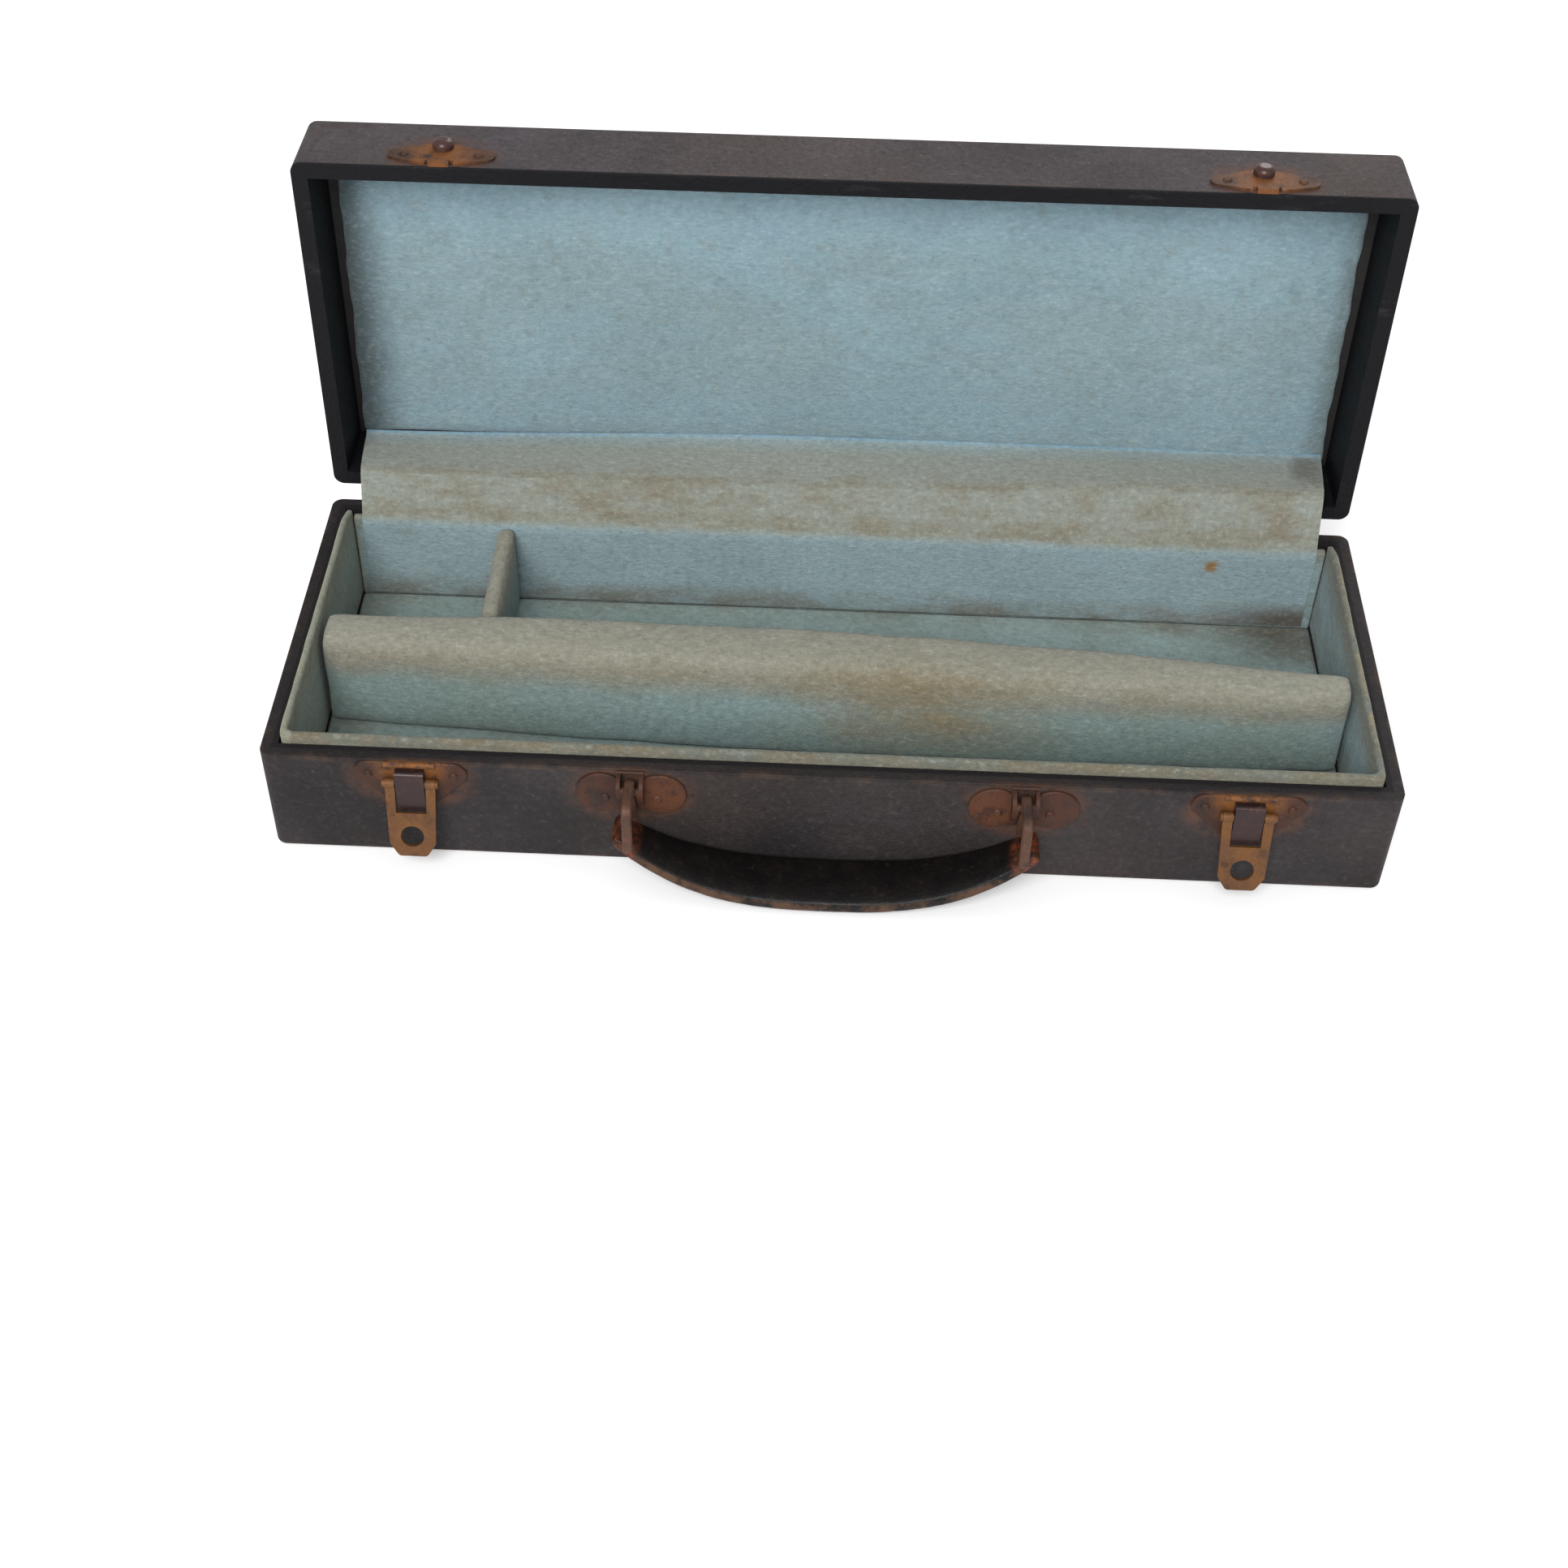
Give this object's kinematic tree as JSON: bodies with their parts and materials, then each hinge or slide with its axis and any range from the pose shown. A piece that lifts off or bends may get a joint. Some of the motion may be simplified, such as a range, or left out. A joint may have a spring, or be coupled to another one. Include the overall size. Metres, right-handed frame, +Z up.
{
  "type": "clarinet case",
  "caption": "Long flat covered wooden instrument case, lid open on rear hinges, with a padded tray, dividers, snap hasps with lift-up levers and a leather carrying handle.",
  "frame": {"origin": "centre of the base's underside", "axes": "+X along the case to the right as seen from its front, +Y from the latch side to the hinge side, +Z up"},
  "size_m": [0.4, 0.2074, 0.1973],
  "materials": {
    "black_leathercloth": "fine-grained leathercloth, satin, scuffed",
    "wood": "plain softwood board",
    "blue_felt": "flat pale blue-grey felt",
    "grey_green_felt": "faded blue-grey felt with brown patches",
    "beige_cloth": "thin beige-grey cloth",
    "worn_steel": "plated sheet steel, plating gone, brown with rust",
    "japanned_metal": "dark purple-brown enamel",
    "handle_leather": "black padded leather with worn brown edges"
  },
  "bodies": {
    "base": {"base_bottom_board": "wood", "base_front_wall": "wood", "base_back_wall": "wood", "base_left_wall": "wood", "base_right_wall": "wood", "base_covering": "black_leathercloth", "bottom_covering": "black_leathercloth", "floor_felt": "grey_green_felt", "front_lining_board": "grey_green_felt", "back_lining_board": "grey_green_felt", "left_lining_board": "grey_green_felt", "right_lining_board": "grey_green_felt", "divider_core": "wood", "divider_cover": "grey_green_felt", "cross_partition": "grey_green_felt", "base_hinge_cloth": "beige_cloth", "left_hinge_base_leaf": "worn_steel", "right_hinge_base_leaf": "worn_steel", "left_hinge_pin": "worn_steel", "right_hinge_pin": "worn_steel", "base_hinge_nails": "worn_steel", "left_latch_plate": "worn_steel", "right_latch_plate": "worn_steel", "left_latch_block": "japanned_metal", "right_latch_block": "japanned_metal", "left_latch_pin": "worn_steel", "right_latch_pin": "worn_steel", "latch_nails": "worn_steel", "left_handle_plate": "worn_steel", "right_handle_plate": "worn_steel", "handle_nails": "worn_steel"},
    "lid": {"lid_front_wall": "wood", "lid_back_wall": "wood", "lid_left_wall": "wood", "lid_right_wall": "wood", "lid_panel": "wood", "lid_covering": "black_leathercloth", "lid_lining_pad": "blue_felt", "lid_hinge_cloth": "beige_cloth", "left_hinge_lid_leaf": "worn_steel", "right_hinge_lid_leaf": "worn_steel", "lid_hinge_nails": "worn_steel", "left_strike_plate": "worn_steel", "right_strike_plate": "worn_steel", "left_strike_stud": "japanned_metal", "right_strike_stud": "japanned_metal", "strike_nails": "worn_steel"},
    "left_latch": {"left_latch_lever": "worn_steel"},
    "right_latch": {"right_latch_lever": "worn_steel"},
    "handle": {"left_handle_ring": "worn_steel", "right_handle_ring": "worn_steel", "handle_strap": "handle_leather"}
  },
  "joints": [
    {"name": "lid_hinge", "type": "hinge", "parent": "base", "child": "lid", "pos_m": [0, 0.075, 0.04715], "axis": [1, 0, 0], "range_deg": [0, 92]},
    {"name": "left_latch_lift", "type": "hinge", "parent": "base", "child": "left_latch", "pos_m": [-0.1465, -0.0742, 0.0388], "axis": [-1, 0, 0], "range_deg": [0, 163]},
    {"name": "right_latch_lift", "type": "hinge", "parent": "base", "child": "right_latch", "pos_m": [0.1465, -0.0742, 0.0388], "axis": [-1, 0, 0], "range_deg": [0, 163]},
    {"name": "handle_swing", "type": "hinge", "parent": "base", "child": "handle", "pos_m": [0, -0.0761, 0.0413], "axis": [-1, 0, 0], "range_deg": [0, 88]}
  ]
}
